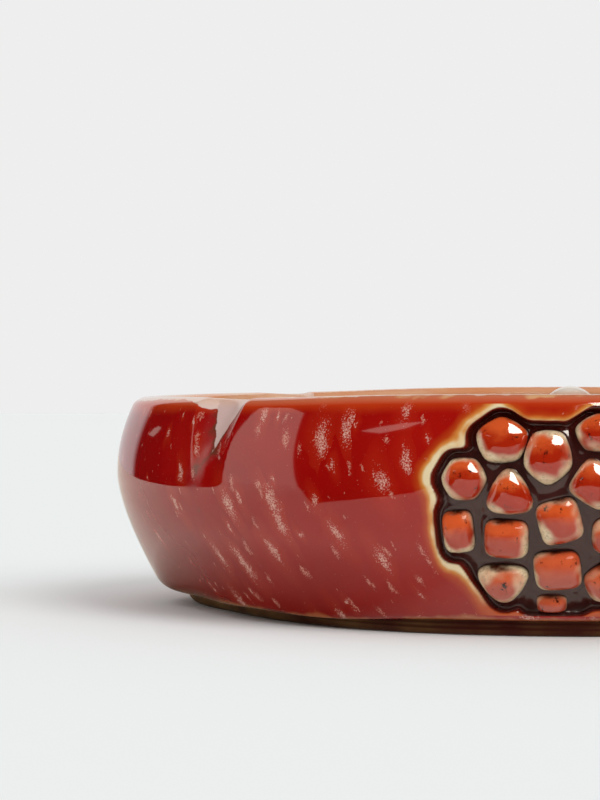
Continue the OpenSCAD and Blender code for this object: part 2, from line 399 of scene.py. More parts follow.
def wall_bearings(fine=0.5, medium=0.7, coarse=3, beside=3):
    """Bearings of the wall's sections, with steps in mm, closer on the relief and the pinches."""
    b = np.linspace(-math.pi, math.pi, 7201)
    in_pinch = np.abs(past_pinch(b)) < pinch_w / 2 + beside
    step = np.where(np.abs(b) < relief_span(), fine, np.where(in_pinch, medium, coarse))
    count = np.cumsum(girth_r * (b[1] - b[0]) / step)
    return np.interp(np.arange(0, round(count[-1])), count, b)


def settled(b, r, z):
    """The wall's outside with its lower edge sagged, and its lower corner rounder at the sides."""
    corner_r = mix(edge_r, side_corner_r, smooth((folded(b) - pinch_bearing) / side_corner_span))
    below_corner = np.clip(corner_r + foot_h - z, 0, corner_r)
    corner_inset = corner_r - np.sqrt(corner_r**2 - below_corner**2)
    corner_x = outer(b, z) - hand_wobble(b, z) - corner_inset
    sink = edge_sink + edge_sag * sag(b, edge_sag_bearing, edge_sag_half)
    sink = sink + side_sag * sag(b, side_sag_bearing, side_sag_half)
    return np.minimum(r, corner_x), z - sink * smooth((cove_h + foot_h - z) / cove_h)


def wall_rows(b):
    """The wall's section at each bearing, from its lower edge over the rim to the floor.

    Each row holds radii, heights, 0 outside to 1 inside, and the distance from the relief's lip.
    """
    rim_c = rim_centre(b)
    edge_a = np.linspace(math.pi / 2, 0, 6)[None, :-1]
    rim_a = np.linspace(0, math.pi, 16)[None, 1:-1]
    cove_a = np.linspace(0, math.pi / 2, 10)[None, 1:]

    z_out = mix(edge_z, rim_c, np.linspace(0, 1, 112)[None, :])
    from_edge, depth = pocket(b, z_out)
    at_side = smooth((-b * girth_r - lip_side) / lip_side_fade)
    broader = at_side * mix(lip_low, lip_high, smooth((z_out - lip_low_z) / lip_low_fade))
    lip = np.where(from_edge > lip_least, np.maximum(lip_least, from_edge - broader), from_edge)
    far_lip = 99.0

    edge_x = outer(b, edge_z) - hand_wobble(b, edge_z) - edge_r
    rim_x = outer(b, rim_c) - hand_wobble(b, rim_c) - rim_t / 2
    shoulder_slope = 2 * shoulder_inset / (rim_z - girth_z)
    rim_lean = shoulder_slope * rim_round * np.sin(rim_a) * (1 + np.cos(rim_a)) / 2
    z_in = mix(rim_c, floor_z + cove_h, np.linspace(0, 1, 20)[None, :])
    z_cove = floor_z + cove_h * (1 - np.sin(cove_a))
    floor_x = floor_r + 0 * b
    rows = [
        (edge_x + edge_r * np.cos(edge_a), edge_z - edge_r * np.sin(edge_a), 0, far_lip),
        (outer(b, z_out) - hand_wobble(b, z_out) - depth, z_out, 0, lip),
        (rim_x + rim_t / 2 * np.cos(rim_a) - rim_lean, rim_c + rim_round * np.sin(rim_a),
         rim_a / math.pi, far_lip),
        (inner(b, z_in) - hand_wobble(b, z_in), z_in, 1, far_lip),
        (inner(b, z_cove) - hand_wobble(b, z_cove), z_cove, 1, far_lip),
        (floor_x, floor_z, 1, far_lip),
        (floor_x, foot_h, 1, far_lip),
    ]
    return [np.broadcast_arrays(*row) for row in rows]


def tongue_inset(b, fall):
    """Distance inside the outline of a pinch's tongue and crease, negative outside."""
    lean = tongue_lean * smooth((fall - lean_start) / lean_run)
    half = tongue_half * (1 - np.clip(fall / tongue_run, 0, 1)) ** tongue_power
    half = half - crease_taper * np.maximum(0, fall - tongue_run)
    return half - np.abs(past_pinch(b) - lean)


def make_wall():
    """Lobed and pinched wall with its rim and the pocket of the relief."""
    b = wall_bearings()[:, None]
    rows = wall_rows(b)
    r, z, inside, lip = (np.concatenate(part, axis=1) for part in zip(*rows))
    up_wall = z.copy()
    outside = slice(0, rows[0][0].shape[1] + rows[1][0].shape[1])
    r[:, outside], z[:, outside] = settled(b, r[:, outside], z[:, outside])

    fall = rim_at(b) - z
    tongue = tongue_inset(b, fall)
    crest_h = np.interp(past_pinch(b), *np.transpose(rim_crest))
    # Painted reflection: the pale tongue in each pinch and the pale crest on the rim
    bared = np.maximum(tongue, 2 * (crest_h - fall))

    twist = (b - run_lean * (z - run_upright_z) ** 2) * girth_r / MM
    run = np.stack([twist, z / MM], axis=-1)
    run = np.vstack([run, run[:1] + [2 * math.pi * girth_r / MM, 0]])
    from_seam = (math.pi - np.abs(b)) * girth_r
    specked = mix(1, side_specks, smooth(past_pinch(b) / side_speck_fade))
    specked = specked * mix(seam_specks, 1, smooth((from_seam - seam_w) / seam_fade)) + 0 * z
    return grid_piece(
        "glazed_wall", at(r, b, z), flat=run, below_rim=fall, inside=inside, lip=lip, bared=bared,
        tongue=tongue, specked=specked, up_wall=up_wall)


def make_floor():
    """Floor slab with faint turning rings on its upper face."""
    radius = np.linspace(floor_r, 0, 117)
    rings = floor_ring_h * np.cos(radius * floor_ring_rate) * smooth(radius / floor_plain_r)
    r = np.concatenate([[0, floor_r], radius])
    z = np.concatenate([[foot_h, foot_h], floor_z - floor_drop + rings])
    b = np.linspace(0, 2 * math.pi, 180, endpoint=False)[:, None]
    grid = at(r[None, :], b, z[None, :])
    below = np.full(grid.shape[:2], floor_below_edge)
    return grid_piece("glazed_floor", grid, loop_v=False, below_edge=below)


def make_foot():
    """Foot ring with two turned lines on its outer side, rounder and more worn at the two sides."""
    b = np.linspace(0, 2 * math.pi, 360, endpoint=False)[:, None]
    aside = foot_aside(b)
    turn = np.linspace(0, math.pi / 2, 7)[None, :]
    outer_round = mix(foot_round, foot_side_round, aside)
    side_z = mix(outer_round, foot_h, np.linspace(0, 1, 14)[None, 1:])
    lines = sum(
        strength * np.exp(-((side_z - line_z) / half_w) ** 2) for line_z, half_w, strength in foot_lines)
    # Inset, height and wear of the inner corner, the outer corner, the side and the inner top edge
    rows = [
        (foot_w - foot_round * (1 - np.cos(turn)), foot_round * (1 - np.sin(turn)), 0),
        (outer_round * (1 - np.sin(turn)), outer_round * (1 - np.cos(turn)),
         foot_corner_wear * np.sin(turn)),
        (foot_line_depth * lines, side_z, lines),
        (foot_w, foot_h, 0),
    ]
    rows = [np.broadcast_arrays(*(part + 0 * b for part in row)) for row in rows]
    inset, z, worn = (np.concatenate(part, axis=1) for part in zip(*rows))
    worn = worn * mix(foot_front_wear, 1, aside)
    return grid_piece("glazed_foot", at(foot_outer(b) - inset, b, z), line=worn)


def make_hub():
    """Post with a domed top that spreads into the floor."""
    turn = np.linspace(0, math.pi / 2, 18)
    side = np.linspace(floor_z, hub_top - hub_r, 30)
    spread = hub_spread * np.clip((floor_z + hub_spread_h - side) / hub_spread_h, 0, 1) ** 2
    r = np.concatenate([[0], hub_r + spread, hub_r * np.cos(turn[1:-1]), [0]])
    z = np.concatenate([[floor_z], side, hub_top - hub_r + hub_r * np.sin(turn[1:-1]), [hub_top]])
    b = np.linspace(0, 2 * math.pi, 96, endpoint=False)[:, None]
    below = np.broadcast_to((hub_top - z)[None, :], (len(b), len(z)))
    return grid_piece("glazed_hub", at(r[None, :], b, z[None, :]), loop_v=False, below_edge=below)


def make_divider(name, bearing):
    """Upright divider with an arched top that spreads into the floor, the hub and the wall."""
    share = np.linspace(0, 1, 60)[:, None]
    level = np.concatenate([np.linspace(0, 1, 26), np.ones(11), np.linspace(1, 0, 26)])[None, :]
    side = np.concatenate([-np.ones(26), np.linspace(-1, 1, 13)[1:-1], np.ones(26)])[None, :]
    side_z = hub_top - hub_r
    top = mix(side_z, rim_centre(bearing), share) - divider_sag * 4 * share * (1 - share)
    arch = divider_t / 2 * (1 - np.sqrt(1 - divider_arch * side**2))
    z = mix(floor_z, top - arch, level)
    at_floor = np.clip((floor_z + divider_spread_h - z) / divider_spread_h, 0, 1)
    at_wall = np.clip(1 - (1 - share) / wall_end_share, 0, 1)
    at_hub = np.clip(1 - share / hub_end_share, 0, 1)
    spread = divider_spread * at_floor**2 + wall_end_spread * at_wall**2 + hub_end_spread * at_hub**2
    u = side * (divider_t / 2 + spread)
    along = mix(hub_r - hub_tuck, inner(bearing, z) + wall_tuck, share)
    bearings = bearing + np.arctan2(u, along)
    grid = at(np.hypot(along, u), bearings, z)
    below = top - z
    ends = [np.broadcast_to(grid[i].mean(axis=0), grid[:1].shape) for i in (0, -1)]
    grid = np.concatenate([ends[0], grid, ends[1]])
    below = np.concatenate([below[:1], below, below[-1:]])
    return grid_piece(name, grid, loop_u=False, below_edge=below)


# Colours and nodes

SOFT = {"interpolation_type": "SMOOTHSTEP"}


def linear(hex_colour):
    """A linear colour with alpha from an sRGB hex value."""
    channels = [int(hex_colour[i:i + 2], 16) / 255 for i in (1, 3, 5)]
    return (*(c / 12.92 if c <= 0.04045 else ((c + 0.055) / 1.055) ** 2.4 for c in channels), 1)


def add(tree, kind, inputs=None, **settings):
    """Adds a node with its settings and gives its outputs; an input is a value or a socket to link."""
    node = tree.nodes.new(kind)
    for key, value in settings.items():
        setattr(node, key, value)
    for key, value in (inputs or {}).items():
        if isinstance(value, bpy.types.NodeSocket):
            tree.links.new(value, node.inputs[key])
        else:
            node.inputs[key].default_value = value
    return node.outputs


def new_glaze(name):
    """A new material, with its tree and its surface shader."""
    material = bpy.data.materials.new(name)
    material.use_nodes = True
    tree = material.node_tree
    return material, tree, tree.nodes["Principled BSDF"]


def coats(tree, ground, *layers):
    """Lays colours over a ground, each as (mask socket, hex colour)."""
    colour = ground
    for mask, top in layers:
        colour = add(tree, "ShaderNodeMix", {0: mask, 6: colour, 7: linear(top)}, data_type="RGBA")[2]
    return colour


def glaze_specks(tree, place, run, specked):
    """Large and small patches of 0.4 mm dots, and the glow round the large ones.

    There is one patch to a cell of the glaze's run, twice as tall as wide.
    """
    dots = add(tree, "ShaderNodeTexNoise", {"Vector": place, "Scale": 2300, "Detail": 1})[0]
    stray = add(tree, "ShaderNodeTexNoise", {"Vector": place, "Scale": 200, "Detail": 2})["Color"]
    bent = add(
        tree, "ShaderNodeVectorMath", {0: stray, 1: (0.004, 0.006, 0), 2: run}, operation="MULTIPLY_ADD")[0]
    specks = []
    reaches = []
    for cell_mm, smallest, largest, shift in (
        (10, 0.1, 0.44, (1.05, 0.3, 0)),
        (6, 0.05, 0.36, (0, 0, 0)),
    ):
        rate = (MM / cell_mm, 0.5 * MM / cell_mm, 0)
        spot = add(
            tree, "ShaderNodeVectorMath", {0: bent, 1: rate, 2: shift}, operation="MULTIPLY_ADD")[0]
        cell = add(tree, "ShaderNodeTexVoronoi", {"Vector": spot, "Scale": 1}, voronoi_dimensions="2D")
        chance = add(tree, "ShaderNodeSeparateColor", {0: cell["Color"]})[0]
        size = add(tree, "ShaderNodeMapRange", {0: chance, 1: 0.25, 3: smallest, 4: largest})[0]
        size = add(tree, "ShaderNodeMath", {0: size, 1: specked}, operation="MULTIPLY")[0]
        reach = add(tree, "ShaderNodeMath", {0: cell["Distance"], 1: size}, operation="DIVIDE")[0]
        patch = add(tree, "ShaderNodeMapRange", {0: reach, 1: 1.0, 2: 0.25, 4: 0.4})[0]
        dense = add(tree, "ShaderNodeMath", {0: dots, 1: patch}, operation="ADD")[0]
        specks.append(add(tree, "ShaderNodeMapRange", {0: dense, 1: 0.74, 2: 1.04})[0])
        reaches.append(reach)
    glow = add(tree, "ShaderNodeMapRange", {0: reaches[0], 1: 2.0, 2: 0.6, 4: 0.6})[0]
    return *specks, glow


def make_red_glaze():
    """Red reactive glaze, dipped and fired: deep glassy red, orange and cream on edges, pale specks."""
    material, tree, shader = new_glaze("red_reactive_glaze")
    run = add(tree, "ShaderNodeUVMap", uv_map="run")[0]
    below, inside, lip, bared, tongue, specked, up_wall = (
        add(tree, "ShaderNodeAttribute", attribute_name=name)["Fac"]
        for name in ("below_rim", "inside", "lip", "bared", "tongue", "specked", "up_wall"))
    place = add(tree, "ShaderNodeTexCoord")["Object"]
    up = add(tree, "ShaderNodeSeparateXYZ", {0: place})[2]
    large_specks, small_specks, speck_glow = glaze_specks(tree, place, run, specked)

    # Clouds about 36 mm across, thick and dark or thin and bright, and ripples of about 13 and 4 mm
    cloud = add(
        tree, "ShaderNodeTexNoise", {"Vector": place, "Scale": 28, "Detail": 3, "Roughness": 0.5})[0]
    deep = add(tree, "ShaderNodeMapRange", {0: cloud, 1: 0.52, 2: 0.3, 4: 0.3})[0]
    thin = add(tree, "ShaderNodeMapRange", {0: cloud, 1: 0.5, 2: 0.75})[0]
    ripple = add(tree, "ShaderNodeTexNoise", {"Vector": place, "Scale": 75, "Detail": 3})[0]
    fray = add(tree, "ShaderNodeTexNoise", {"Vector": place, "Scale": 260, "Detail": 4})[0]

    # Darker low on the wall, partly pooled glaze and partly painted shade, and warmer round the relief
    pooled = add(tree, "ShaderNodeMapRange", {0: up_wall, 1: 26, 2: 8, 4: 0.45})[0]
    middle = (0, -girth_r / MM, girth_z / MM)
    away = add(tree, "ShaderNodeVectorMath", {0: place, 1: middle}, operation="DISTANCE")["Value"]
    warmed = add(tree, "ShaderNodeMapRange", {0: away, 1: 0.085, 2: 0.05, 4: 0.4})[0]

    # Breaks on the rim and the lower edge, of uneven width
    ragged = add(tree, "ShaderNodeMath", {0: cloud, 1: 6.0, 2: below}, operation="MULTIPLY_ADD")[0]
    rim_band = add(tree, "ShaderNodeMapRange", {0: ragged, 1: 8.5, 2: 4.5}, **SOFT)[0]
    spotted = add(tree, "ShaderNodeMath", {0: ripple, 1: -9.0, 2: below}, operation="MULTIPLY_ADD")[0]
    rim_line = add(tree, "ShaderNodeMapRange", {0: spotted, 1: -4.5, 2: -5.5}, **SOFT)[0]
    low = add(tree, "ShaderNodeMath", {0: ripple, 1: 6.0, 2: up_wall}, operation="MULTIPLY_ADD")[0]
    foot_line = add(tree, "ShaderNodeMapRange", {0: low, 1: 8.6, 2: 7.2}, **SOFT)[0]

    # Orange, gold and cream on the lip of the pocket, narrower high on the wall
    high = add(tree, "ShaderNodeMapRange", {0: below, 1: 24, 2: 8, 4: 0.7})[0]
    border = add(tree, "ShaderNodeMath", {0: ripple, 1: 6.0, 2: lip}, operation="MULTIPLY_ADD")[0]
    border = add(tree, "ShaderNodeMath", {0: border, 1: high}, operation="ADD")[0]
    glow = add(tree, "ShaderNodeMapRange", {0: border, 1: 7.4, 2: 3.4}, **SOFT)[0]
    gold = add(tree, "ShaderNodeMapRange", {0: border, 1: 5.2, 2: 3.2}, **SOFT)[0]
    cream = add(tree, "ShaderNodeMapRange", {0: border, 1: 3.9, 2: 2.9}, **SOFT)[0]
    raised = add(tree, "ShaderNodeMapRange", {0: up, 1: 0.008, 2: 0.016})[0]
    gold = add(tree, "ShaderNodeMath", {0: gold, 1: raised}, operation="MULTIPLY")[0]
    cream = add(tree, "ShaderNodeMath", {0: cream, 1: raised}, operation="MULTIPLY")[0]

    # Brown in the pocket, with painted shade that makes it darkest high on the wall
    slope = add(tree, "ShaderNodeMapRange", {0: lip, 1: 0.1, 2: -0.3}, **SOFT)[0]
    sunk = add(tree, "ShaderNodeMapRange", {0: lip, 1: -0.3, 2: -1.0}, **SOFT)[0]
    pocket_top_shade = add(tree, "ShaderNodeMapRange", {0: below, 1: 20, 2: 11})[0]
    pocket_top_shade = add(tree, "ShaderNodeMath", {0: pocket_top_shade, 1: sunk}, operation="MULTIPLY")[0]

    # Painted reflection, pale on the rim's crest and in the pinches, and painted shade in brown beside it,
    # where the glaze is also duller
    wavy = add(tree, "ShaderNodeMath", {0: fray, 1: 3.2, 2: bared}, operation="MULTIPLY_ADD")[0]
    crest = add(tree, "ShaderNodeMapRange", {0: wavy, 1: 1.25, 2: 1.85}, **SOFT)[0]
    wavy = add(tree, "ShaderNodeMath", {0: fray, 1: 3.2, 2: tongue}, operation="MULTIPLY_ADD")[0]
    pinched = add(tree, "ShaderNodeMapRange", {0: wavy, 1: 1.25, 2: 1.85}, **SOFT)[0]
    frayed = add(tree, "ShaderNodeMath", {0: fray, 1: 12.0, 2: tongue}, operation="MULTIPLY_ADD")[0]
    painted_brown_shade = add(tree, "ShaderNodeMapRange", {0: frayed, 1: 3.4, 2: 6.0, 4: 0.85})[0]
    dulled = add(tree, "ShaderNodeMapRange", {0: frayed, 1: -1.0, 2: 3.0, 3: 0.05, 4: 0.25})[0]

    # Tan inside, warmer in clouds and redder in the depth
    warm = add(tree, "ShaderNodeMapRange", {0: cloud, 1: 0.4, 2: 0.62})[0]
    warm_inside = add(tree, "ShaderNodeMath", {0: warm, 1: inside}, operation="MULTIPLY")[0]
    depth = add(tree, "ShaderNodeMapRange", {0: below, 1: 6, 2: 24}, **SOFT)[0]
    deep_inside = add(tree, "ShaderNodeMath", {0: depth, 1: inside}, operation="MULTIPLY")[0]

    colour = coats(
        tree,
        linear("#980302"),
        (deep, "#7C0202"),
        (thin, "#A41008"),
        (speck_glow, "#AE280F"),
        (pooled, "#6A0202"),
        (warmed, "#BA1A0E"),
        (small_specks, "#CC8472"),
        (large_specks, "#DCA898"),
        (rim_band, "#C23A12"),
        (rim_line, "#DDAA78"),
        # Painted shade in brown, then painted reflection on the crest and in the pinches
        (painted_brown_shade, "#5E341C"),
        (crest, "#E4C6BA"),
        (pinched, "#D2B2AA"),
        (foot_line, "#B4643A"),
        (glow, "#C24E18"),
        (gold, "#DC9848"),
        (cream, "#EED9AE"),
        (slope, "#6E1508"),
        (sunk, "#45201C"),
        (pocket_top_shade, "#3E0C06"),
        (inside, "#EAB890"),
        (warm_inside, "#E0915E"),
        (deep_inside, "#A8340F"),
    )
    tree.links.new(colour, shader.inputs["Base Color"])
    rough = add(tree, "ShaderNodeMath", {0: large_specks, 1: sunk}, operation="MAXIMUM")[0]
    rough = add(tree, "ShaderNodeMapRange", {0: rough, 3: 0.05, 4: 0.13})[0]
    rough = add(tree, "ShaderNodeMath", {0: rough, 1: dulled}, operation="MAXIMUM")[0]
    tree.links.new(rough, shader.inputs["Roughness"])
    shader.inputs["IOR"].default_value = 1.72
    return material


def make_inner_glaze():
    """Amber glaze run thin over the inside: red-orange in the depth, tan and cream on edges; the pale crest
    is also a painted highlight on the hub's top.
    """
    material, tree, shader = new_glaze("amber_inner_glaze")
    place = add(tree, "ShaderNodeTexCoord")["Object"]
    below = add(tree, "ShaderNodeAttribute", attribute_name="below_edge")["Fac"]
    cloud = add(tree, "ShaderNodeTexNoise", {"Vector": place, "Scale": 35, "Detail": 3})[0]
    warm = add(tree, "ShaderNodeMapRange", {0: cloud, 1: 0.4, 2: 0.7})[0]
    edge = add(tree, "ShaderNodeMapRange", {0: below, 1: 9, 2: 1}, **SOFT)[0]
    # Pale crests: glaze thin on the dividers' tops, and a painted highlight on the hub's top
    crest = add(tree, "ShaderNodeMapRange", {0: below, 1: 4, 2: 0.5}, **SOFT)[0]
    colour = coats(tree, linear("#8E1C0C"), (warm, "#B2431C"), (edge, "#C57B3E"), (crest, "#EADFD2"))
    tree.links.new(colour, shader.inputs["Base Color"])
    rough = add(tree, "ShaderNodeMapRange", {0: cloud, 3: 0.05, 4: 0.12})[0]
    tree.links.new(rough, shader.inputs["Roughness"])
    shader.inputs["IOR"].default_value = 1.72
    return material


def make_foot_glaze():
    """Olive-brown glaze on the turned foot: thin, half matt, and worn lighter on its lines."""
    material, tree, shader = new_glaze("olive_foot_glaze")
    place = add(tree, "ShaderNodeTexCoord")["Object"]
    line = add(tree, "ShaderNodeAttribute", attribute_name="line")["Fac"]
    cloud = add(tree, "ShaderNodeTexNoise", {"Vector": place, "Scale": 60, "Detail": 3})[0]
    warm = add(tree, "ShaderNodeMapRange", {0: cloud, 1: 0.4, 2: 0.65})[0]
    thin = add(tree, "ShaderNodeMapRange", {0: cloud, 1: 0.3, 2: 0.65})[0]
    worn = add(tree, "ShaderNodeMath", {0: line, 1: thin}, operation="MULTIPLY")[0]
    colour = coats(tree, linear("#3A0E06"), (warm, "#3E200C"), (worn, "#8A6438"))
    tree.links.new(colour, shader.inputs["Base Color"])
    rough = add(tree, "ShaderNodeMapRange", {0: cloud, 3: 0.4, 4: 0.6})[0]
    tree.links.new(rough, shader.inputs["Roughness"])
    shader.inputs["IOR"].default_value = 1.2
    return material


def make_seed_glaze():
    """Red glaze pooled on the seeds: orange-red crowns, cream where it breaks, painted shade in the
    crevices, and painted reflection of the floor on the lower seeds.
    """
    material, tree, shader = new_glaze("seed_relief_glaze")
    place = add(tree, "ShaderNodeTexCoord")["Object"]
    height = add(tree, "ShaderNodeAttribute", attribute_name="height")["Fac"]
    reach = add(tree, "ShaderNodeAttribute", attribute_name="reach")["Fac"]
    ball = add(tree, "ShaderNodeAttribute", attribute_name="ball")["Vector"]
    upward = add(tree, "ShaderNodeSeparateXYZ", {0: ball})[1]
    up = add(tree, "ShaderNodeSeparateXYZ", {0: place})[2]
    # Noises of about 10.5, 6, 3 and 1.2 mm
    broad, cloud, pits, grain = (
        add(tree, "ShaderNodeTexNoise", {
            "Vector": place, "Scale": scale, "Detail": detail, "Roughness": roughness})[0]
        for scale, detail, roughness in ((95, 2, 0.6), (170, 3, 0.6), (330, 4, 0.75), (800, 4, 0.75)))

    # Orange crowns, cream edges, dark brown upper edges, and dark spots
    above = add(tree, "ShaderNodeMath", {0: cloud, 1: 1.2, 2: upward}, operation="MULTIPLY_ADD")[0]
    warm = add(tree, "ShaderNodeMapRange", {0: above, 1: 0.5, 2: 1.2}, **SOFT)[0]
    edge = add(tree, "ShaderNodeMath", {0: upward, 1: -0.1, 2: reach}, operation="MULTIPLY_ADD")[0]
    edge = add(tree, "ShaderNodeMath", {0: broad, 1: 1.7, 2: edge}, operation="MULTIPLY_ADD")[0]
    cream = add(tree, "ShaderNodeMapRange", {0: edge, 1: 1.52, 2: 2.0}, **SOFT)[0]
    crest = add(tree, "ShaderNodeMath", {0: cloud, 1: 0.7, 2: upward}, operation="MULTIPLY_ADD")[0]
    dark_upper_edge = add(tree, "ShaderNodeMapRange", {0: crest, 1: 1.13, 2: 1.39}, **SOFT)[0]
    blot = add(tree, "ShaderNodeMapRange", {0: pits, 1: 0.6, 2: 0.68})[0]
    fleck = add(tree, "ShaderNodeMapRange", {0: grain, 1: 0.5, 2: 0.68, 4: 0.7})[0]
    broken = add(tree, "ShaderNodeMath", {0: cream, 1: dark_upper_edge}, operation="MAXIMUM")[0]
    fleck = add(tree, "ShaderNodeMath", {0: fleck, 1: broken}, operation="MULTIPLY")[0]
    # Painted shade: dark brown low on each seed, where it meets the pocket's ground
    low = add(tree, "ShaderNodeMapRange", {0: height, 1: 0.4, 2: 0.06}, **SOFT)[0]
    # Painted reflection of the floor: pinker and paler on the lower seeds
    floor_reflection_paint = add(tree, "ShaderNodeMapRange", {0: up, 1: 0.036, 2: 0.016, 4: 0.4})[0]
    colour = coats(
        tree,
        linear("#AE2408"),
        (warm, "#DA5826"),
        (floor_reflection_paint, "#C46A50"),
        (blot, "#36100A"),
        (cream, "#F0DAB2"),
        (dark_upper_edge, "#4A1A08"),
        (fleck, "#7A5A40"),
        (low, "#2A100B"),
    )
    tree.links.new(colour, shader.inputs["Base Color"])
    rough = add(tree, "ShaderNodeMapRange", {0: broken, 3: 0.05, 4: 0.14})[0]
    tree.links.new(rough, shader.inputs["Roughness"])

    # The lower seeds are drier on their upper sides
    lower = add(tree, "ShaderNodeMapRange", {0: up, 1: 0.042, 2: 0.032})[0]
    crown = add(tree, "ShaderNodeMapRange", {0: upward, 1: 0.1, 2: 0.4})[0]
    dry = add(tree, "ShaderNodeMath", {0: lower, 1: crown}, operation="MULTIPLY")[0]
    gloss = add(tree, "ShaderNodeMapRange", {0: dry, 3: 0.5, 4: 0.06})[0]
    tree.links.new(gloss, shader.inputs["Specular IOR Level"])
    shader.inputs["IOR"].default_value = 1.9
    return material


# Seeds, as one tree that shapes a pillow at each place in the pocket


def seed_places():
    """A point for each seed on the pocket's ground, with its own axes and sizes as attributes."""
    across, up, w, h, tilt, corners = seeds.T
    b = across / girth_r
    z = edge_z + up
    r = outer(b, z) - pocket_depth
    lean = np.arctan(outer(b, z + 0.5) - outer(b, z - 0.5))
    out_axis = np.stack(
        [np.sin(b) * np.cos(lean), -np.cos(b) * np.cos(lean), -np.sin(lean)], axis=-1)
    side_axis = np.stack([np.cos(b), np.sin(b), 0 * b], axis=-1)
    up_axis = np.cross(out_axis, side_axis)
    rise = seed_rise * np.minimum(1, h / flat_seed_h)
    crispness = np.where(corners == 4, 1.3, np.where(corners == 3, 1.0, 0.8))
    corner_h = crispness * seed_corner / (corners**2 - 1)
    mesh = bpy.data.meshes.new("seed_places")
    mesh.from_pydata(at(r, b, z), [], [])
    vectors = {
        "side_axis": side_axis,
        "up_axis": up_axis,
        "out_axis": out_axis,
        "half_size": np.stack([w / 2, h / 2, rise], axis=-1) / MM,
        "corners": np.stack([corners, np.radians(tilt), corner_h], axis=-1),
    }
    for key, values in vectors.items():
        layer = mesh.attributes.new(key, "FLOAT_VECTOR", "POINT")
        layer.data.foreach_set("vector", values.astype(np.float32).ravel())
    places = bpy.data.objects.new("seed_places", mesh)
    bpy.context.collection.objects.link(places)
    return places


